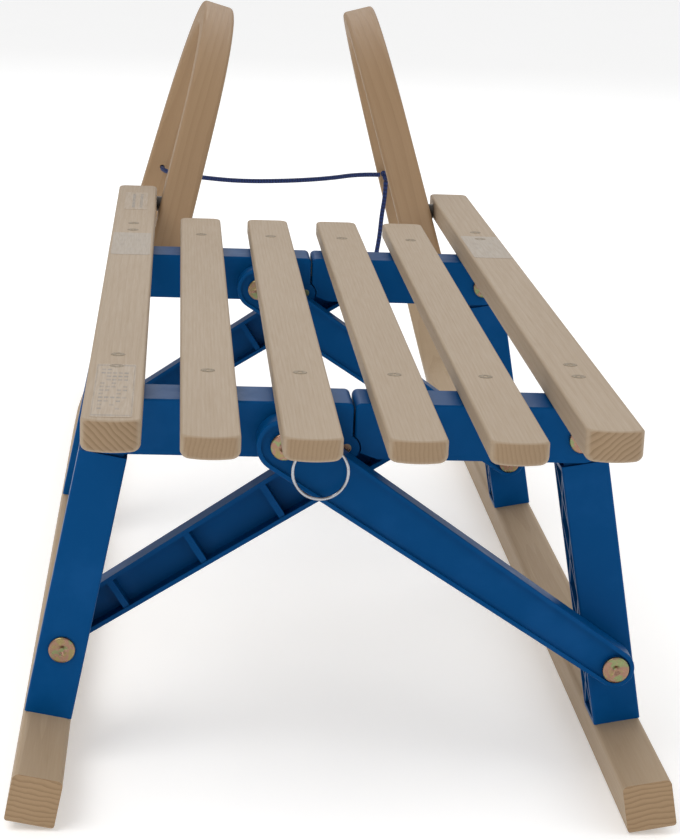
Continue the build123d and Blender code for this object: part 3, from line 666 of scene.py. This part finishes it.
def coil_points():
    """Turns beside and on each other, then a curl into the middle where the end knot lies."""
    turns, radii, layers = zip(*COIL_STATIONS)
    points = []
    for step in range(1, COIL_STEPS + 1):
        turn = step / COIL_STEPS_A_TURN
        around = math.pi + 2 * math.pi * turn
        out = np.interp(turn, turns, radii)
        height = LYING + COIL_RISE * np.interp(turn, turns, layers)
        points.append(COIL + Vector((out * math.cos(around), out * math.sin(around), height)))
    return points + [COIL + Vector(point) for point in CURL_END]


def tail_points():
    """Down from the side knot, back over the floor, and round the coil."""
    top = SIDE_KNOT - Vector((0, 0, SIDE_KNOT_SIZE / 2))
    return [top, top - Vector((0, 0, BELOW_KNOT)), *map(Vector, TAIL_MIDDLE),
            COIL + Vector((-COIL_WIDE, 0, LYING)), *coil_points()]


def tight_knot(name, place, body, reach=KNOT_REACH):
    """A pulled-tight knot: the cord wound through itself three times round."""
    steps = 36
    points = []
    for step in range(steps):
        t = 2 * math.pi * step / steps
        points.append((reach * (math.sin(t) + 2 * math.sin(2 * t)), -1.4 * reach * math.sin(3 * t),
                       reach * (math.cos(t) - 2 * math.cos(2 * t))))
    lump = smooth_line(name, points, order=4, resolution=3, closed=True)
    lump.location = place
    piece = thicken(lump, sizes().cord_diameter * 0.44, name)
    return finish_piece(piece, body, braided(name + " braid", KNOT_CORD_LENGTH))


def stop_place(side):
    """Middle of the knot on the front of a horn."""
    sign = -1 if side == "left" else 1
    x = HORN_HOLE.x + STOP_KNOT_AHEAD * math.sin(HORN_TOE)
    return Vector((sign * x, HORN_HOLE.y + STOP_KNOT_AHEAD, HORN_HOLE.z))


class SLED_OT_cords(bpy.types.Operator):
    """Pull cord: the span between the horns, the tail with its wound length, and the knots"""

    bl_idname = "sled.cords"
    bl_label = "Pull cord"

    def execute(self, context):
        self.span()
        self.tail()
        return {"FINISHED"}

    def span(self):
        span, path = rope("cord_between_horns", span_points())
        finish_piece(span, "left_side", braided("cord across", length_of(path)))
        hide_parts("cord_span")
        left = tight_knot("left_stop_knot", stop_place("left"), "left_side")
        right = tight_knot("right_stop_knot", stop_place("right"), "right_side")
        side = tight_knot("side_knot", SIDE_KNOT, "right_side")
        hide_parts("knot_left")
        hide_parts("knot_right")
        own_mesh(span)

    def tail(self):
        tail, path = rope("cord_tail_and_coil", tail_points())
        finish_piece(tail, "right_side", braided("cord tail", length_of(path)))
        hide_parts("cord_tail", "cord_coil")
        end = tight_knot("end_knot", middle("knot_end"), "right_side", reach=END_KNOT_REACH)
        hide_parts("knot_end")


# ---------------------------------------------------------------- seat
# where each slat was cut from its tree: sideways, along and up from the rings' centre
SLAT_SHIFTS = ((0.241, 0.3, -0.178), (0.420, 0.9, -0.330), (-0.360, 1.7, -0.212), (-0.390, 2.4, -0.340),
               (0.290, 3.2, -0.205), (-0.241, 4.1, -0.178))
SCREW_DEPTH = 0.0030
SCREW_SINK = 0.0013             # its middle, below the wood's top
FILM_LIFT = 0.00002             # clear of the wood
FILM_CORNER = 0.003


class SLED_OT_slats(bpy.types.Operator):
    """Six seat slats in pale wood, each with its own figure"""

    bl_idname = "sled.slats"
    bl_label = "Slats"

    def execute(self, context):
        look = finishes()
        for name, shift in zip(SLATS, SLAT_SHIFTS):
            outer = name in OUTER_SLATS
            dress(name, wood(
                f"{name} wood", look.seat_light, look.seat_dark, shift, rings=92.0 if outer else 120.0,
                ring_strength=0.22, end_strength=0.75 if outer else 0.32))
        return {"FINISHED"}


class SLED_OT_screws(bpy.types.Operator):
    """Countersunk screws that hold the slats: one at each crossbar, and two on the outer slats"""

    bl_idname = "sled.screws"
    bl_label = "Slat screws"

    def execute(self, context):
        material = screw_metal()
        for number, slat_name in enumerate(SLATS, start=1):
            x, top = middle(slat_name).x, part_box(slat_name)[1].z
            heads = []
            for place in PLACES:
                y = middle(f"crossbar_{place}_right").y
                if slat_name in OUTER_SLATS:
                    pitch = sizes().screw_pitch
                    heads += [screw_head(x, y + pitch / 2, top), screw_head(x, y - pitch / 2, top)]
                else:
                    heads.append(screw_head(x, y, top))
            body = "left_seat" if number <= 3 else "right_seat"
            piece = joined(heads, f"slat_{number}_screws")
            finish_piece(piece, body, material)
        return {"FINISHED"}


def screw_head(x, y, top):
    """A flat head flush with the wood, with a shallow round socket."""
    deselect()
    radius = sizes().screw_radius
    bpy.ops.mesh.primitive_cylinder_add(
        vertices=32, radius=radius, depth=SCREW_DEPTH, location=(x, y, top - SCREW_SINK))
    head = bpy.context.view_layer.objects.active
    choose_faces(head.data, lambda face: face.normal.z > 0.9)
    bpy.ops.object.mode_set(mode="EDIT")
    bpy.ops.mesh.bevel(offset=0.00015, segments=2, affect="EDGES")
    bpy.ops.object.mode_set(mode="OBJECT")
    choose_faces(head.data, lambda face: face.normal.z > 0.9 and face.area > radius ** 2)
    bpy.ops.object.mode_set(mode="EDIT")
    bpy.ops.mesh.inset(thickness=radius * 0.62)
    bpy.ops.mesh.inset(thickness=radius * 0.10, depth=-0.0005)
    bpy.ops.object.mode_set(mode="OBJECT")
    return head


class SLED_OT_patches(bpy.types.Operator):
    """Thin printed films on the outer slats, with marks that spell nothing"""

    bl_idname = "sled.patches"
    bl_label = "Films"

    def execute(self, context):
        front, rear = middle("crossbar_front_right").y, middle("crossbar_rear_right").y
        band = film("band film", columns=5.0, rows=5.0, ink=0.10, cover=0.50, frame_line=0.0)
        label = film("label film", columns=7.0, rows=15.0, ink=0.50, cover=0.06, frame_line=0.7)
        stamp = film("stamp film", columns=6.0, rows=1.0, ink=0.45, cover=0.0, frame_line=0.0)
        for name, slat_name, body, y, width, length, material in (
                ("front_band_left", "slat_1", "left_seat", front - 0.082, 0.032, 0.100, band),
                ("front_band_right", "slat_6", "right_seat", front - 0.0545, 0.032, 0.101, band),
                ("front_stamp_left", "slat_1", "left_seat", front + 0.1365, 0.021, 0.097, stamp),
                ("rear_label_left", "slat_1", "left_seat", rear - 0.079, 0.0255, 0.135, label)):
            place = Vector((middle(slat_name).x, y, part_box(slat_name)[1].z + FILM_LIFT))
            finish_piece(thin_patch(place, width, length, name), body, material)
        return {"FINISHED"}


def thin_patch(place, width, length, name):
    """A thin sheet with rounded corners, lying on a slat."""
    deselect()
    bpy.ops.mesh.primitive_plane_add(size=1.0, location=place)
    patch = bpy.context.view_layer.objects.active
    patch.scale = (width, length, 1.0)
    settle(patch, name)
    bpy.ops.object.mode_set(mode="EDIT")
    bpy.ops.mesh.select_all(action="SELECT")
    bpy.ops.mesh.bevel(offset=FILM_CORNER, segments=4, affect="VERTICES")
    bpy.ops.mesh.extrude_region_move(TRANSFORM_OT_translate={"value": (0, 0, sizes().patch_thickness)})
    bpy.ops.mesh.select_all(action="SELECT")
    bpy.ops.mesh.normals_make_consistent(inside=False)
    bpy.ops.object.mode_set(mode="OBJECT")
    return patch


# ---------------------------------------------------------------- runners
def band_line():
    """Middle line of a runner and its horn, in the horn's plane: forward, and up along the lean."""
    curve_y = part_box("runner_right")[1].y - HORN_CURVE_BEHIND_BOX
    foremost = curve_y + HORN_FRONT_RADIUS
    top = HORN_TOP - BAND_THICKNESS / 2
    points = [(BAND_START, BAND_MIDDLE_UP), (curve_y, BAND_MIDDLE_UP)]
    for turn in np.linspace(0, math.pi / 2, 13)[1:]:
        points.append((curve_y + HORN_FRONT_RADIUS * math.sin(turn),
                       BAND_MIDDLE_UP + HORN_FRONT_RADIUS * (1 - math.cos(turn))))
    for turn in np.linspace(0, math.pi / 2, 17):
        points.append((foremost - HORN_BROW_RADIUS * (1 - math.cos(turn)),
                       top - HORN_BROW_RADIUS * (1 - math.sin(turn))))
    centre_y, centre_up = foremost - HORN_BROW_RADIUS, top - HORN_BACK_RADIUS
    for turn in np.linspace(0, HORN_BACK_TURN, 17)[1:]:
        points.append((centre_y - HORN_BACK_RADIUS * math.sin(turn),
                       centre_up + HORN_BACK_RADIUS * math.cos(turn)))
    end_y, end_up = points[-1]
    points.append((end_y - HORN_BACK_RUN * math.cos(HORN_BACK_TURN),
                   end_up - HORN_BACK_RUN * math.sin(HORN_BACK_TURN)))
    return np.array(points)


def lay_grain(node_name, sign):
    """Store on each corner how far it lies across, along and through the bent band."""
    line = band_line()
    mesh = NODES[node_name].data
    co = np.array([vertex.co for vertex in mesh.vertices])
    y, up = co[:, 1], co[:, 2] / math.cos(HORN_LEAN)
    best = np.full(len(co), np.inf)
    along, through = np.zeros(len(co)), np.zeros(len(co))
    run = 0.0
    for (y0, v0), (y1, v1) in zip(line, line[1:]):
        length = math.hypot(y1 - y0, v1 - v0)
        ty, tv = (y1 - y0) / length, (v1 - v0) / length
        share = np.clip((y - y0) * ty + (up - v0) * tv, 0, length)
        gap = np.hypot(y - y0 - share * ty, up - v0 - share * tv)
        nearer = gap < best
        best = np.where(nearer, gap, best)
        along = np.where(nearer, run + share, along)
        side = (y - y0) * tv - (up - v0) * ty
        through = np.where(nearer, side, through)
        run += length
    across = sign * co[:, 0] + co[:, 2] * math.tan(HORN_LEAN) - BAND_OFFSET
    layer = mesh.attributes.new("grain", "FLOAT_VECTOR", "POINT")
    layer.data.foreach_set("vector", np.stack([across, along, through], 1).astype(np.float32).ravel())


class SLED_OT_runners(bpy.types.Operator):
    """Runners with their horns, in wood whose grain follows the bend, and the steel soles"""

    bl_idname = "sled.runners"
    bl_label = "Runners"

    def execute(self, context):
        look = finishes()
        sole, peg = steel("runner steel", (0.36, 0.36, 0.37), rough=0.42, along_grain=0.02), black_peg()
        for side, sign in zip(SIDES, (-1, 1)):
            node_name = f"runner_{side}"
            lay_grain(node_name, sign)
            dress(node_name, wood(
                f"{node_name} wood", look.runner_light, look.runner_dark, (0.04, 0.4 + sign, 0.26),
                rings=88.0, ring_strength=0.26, end_strength=0.60, attribute="grain"))
            dress(f"sole_{side}", sole)
            dress(f"peg_{side}", peg)
        return {"FINISHED"}


# ---------------------------------------------------------------- plastic and metal
class SLED_OT_trestles(bpy.types.Operator):
    """Legs, crossbars and braces in blue plastic, with their bolts, pins and ring"""

    bl_idname = "sled.trestles"
    bl_label = "Trestles"

    def execute(self, context):
        blue, bolts = plastic(), zinc()
        bright = steel("bright wire", (0.42, 0.43, 0.46), rough=0.20, along_grain=1.0)
        for place in PLACES:
            for side in SIDES:
                for kind in ("crossbar", "leg", "brace"):
                    dress(f"{kind}_{place}_{side}", blue)
                dress(f"bolts_{place}_{side}", bolts)
            dress(f"centre_pin_{place}", bolts)
        for name in ("head_bolts_left", "head_bolts_right", "lock_pin"):
            dress(name, bolts)
        dress("lock_ring", bright)
        return {"FINISHED"}


# ---------------------------------------------------------------- stage
FLOOR_SIZE = 30.0
SLED_MIDDLE = (0.0, 0.0, 0.2)


def studio_light(name, place, size, power, colour=(1.0, 1.0, 1.0)):
    """A soft rectangular light that faces the sled."""
    data = bpy.data.lights.new(name, "AREA")
    data.shape = "RECTANGLE"
    data.size, data.size_y = size
    data.energy = power
    data.color = colour
    lamp = bpy.data.objects.new(name, data)
    bpy.context.scene.collection.objects.link(lamp)
    lamp.location = place
    lamp.rotation_euler = (Vector(SLED_MIDDLE) - Vector(place)).to_track_quat("-Z", "Y").to_euler()


class SLED_OT_camera(bpy.types.Operator):
    """Camera behind and above the sled"""

    bl_idname = "sled.camera"
    bl_label = "Camera"

    def execute(self, context):
        eye = context.scene.sled_camera
        across = Vector((math.cos(eye.heading), -math.sin(eye.heading), 0))
        ahead = Vector((math.sin(eye.heading) * math.cos(eye.pitch),
                        math.cos(eye.heading) * math.cos(eye.pitch), -math.sin(eye.pitch)))
        above = across.cross(ahead)
        right = across * math.cos(eye.roll) + above * math.sin(eye.roll)
        up = above * math.cos(eye.roll) - across * math.sin(eye.roll)
        data = bpy.data.cameras.new("camera")
        data.lens = eye.lens
        data.sensor_width = 36.0
        data.clip_start, data.clip_end = 0.05, 50.0
        camera = bpy.data.objects.new("camera", data)
        context.scene.collection.objects.link(camera)
        turn = Matrix((right, up, -ahead)).transposed().to_4x4()
        camera.matrix_world = Matrix.Translation(Vector(eye.place)) @ turn
        context.scene.camera = camera
        return {"FINISHED"}


class SLED_OT_stage(bpy.types.Operator):
    """Pale floor and plain soft studio light"""

    bl_idname = "sled.stage"
    bl_label = "Studio"

    def execute(self, context):
        deselect()
        bpy.ops.mesh.primitive_plane_add(size=1.0, location=(0, 0, 0))
        floor = bpy.context.view_layer.objects.active
        floor.scale = (FLOOR_SIZE, FLOOR_SIZE, 1.0)
        settle(floor, "studio_floor")
        floor.data.materials.append(studio_floor())
        world = bpy.data.worlds.new("studio")
        world.use_nodes = True
        background = world.node_tree.nodes["Background"]
        background.inputs["Color"].default_value = (1.0, 1.0, 1.0, 1.0)
        background.inputs["Strength"].default_value = 0.68
        context.scene.world = world
        context.scene.view_settings.view_transform = "Standard"
        studio_light("key", (-1.3, -1.6, 2.6), (1.8, 1.8), power=32.0, colour=(1.0, 0.98, 0.95))
        studio_light("fill", (2.2, -1.4, 1.5), (1.6, 1.6), power=9.0, colour=(0.96, 0.98, 1.0))
        studio_light("back", (0.2, 2.8, 2.2), (2.4, 1.2), power=24.0)
        return {"FINISHED"}


class SLED_PT_parts(bpy.types.Panel):
    """Every step of the sled's looks, in order"""

    bl_idname = "SLED_PT_parts"
    bl_label = "Folding sled"
    bl_space_type = "VIEW_3D"
    bl_region_type = "UI"
    bl_category = "Sled"

    def draw(self, context):
        for step in STEPS:
            self.layout.operator(step.bl_idname)
        for group in (context.scene.sled_finishes, context.scene.sled_sizes, context.scene.sled_camera):
            for name in group.bl_rna.properties.keys():
                if name not in ("rna_type", "name"):
                    self.layout.prop(group, name)


STEPS = (SLED_OT_camera, SLED_OT_cords, SLED_OT_trestles, SLED_OT_runners, SLED_OT_slats, SLED_OT_screws,
         SLED_OT_patches, SLED_OT_stage)
CLASSES = (SledFinishes, SledSizes, SledCamera, *STEPS, SLED_PT_parts)


def register():
    for item in CLASSES:
        bpy.utils.register_class(item)
    bpy.types.Scene.sled_finishes = bpy.props.PointerProperty(type=SledFinishes)
    bpy.types.Scene.sled_sizes = bpy.props.PointerProperty(type=SledSizes)
    bpy.types.Scene.sled_camera = bpy.props.PointerProperty(type=SledCamera)


def unregister():
    del bpy.types.Scene.sled_camera
    del bpy.types.Scene.sled_sizes
    del bpy.types.Scene.sled_finishes
    for item in reversed(CLASSES):
        bpy.utils.unregister_class(item)


def main():
    register()
    bpy.ops.sled.camera()
    bpy.ops.sled.cords()
    bpy.ops.sled.trestles()
    bpy.ops.sled.runners()
    bpy.ops.sled.slats()
    bpy.ops.sled.screws()
    bpy.ops.sled.patches()
    bpy.ops.sled.stage()
    bpy.context.view_layer.update()


if __name__ == "__main__":
    main()
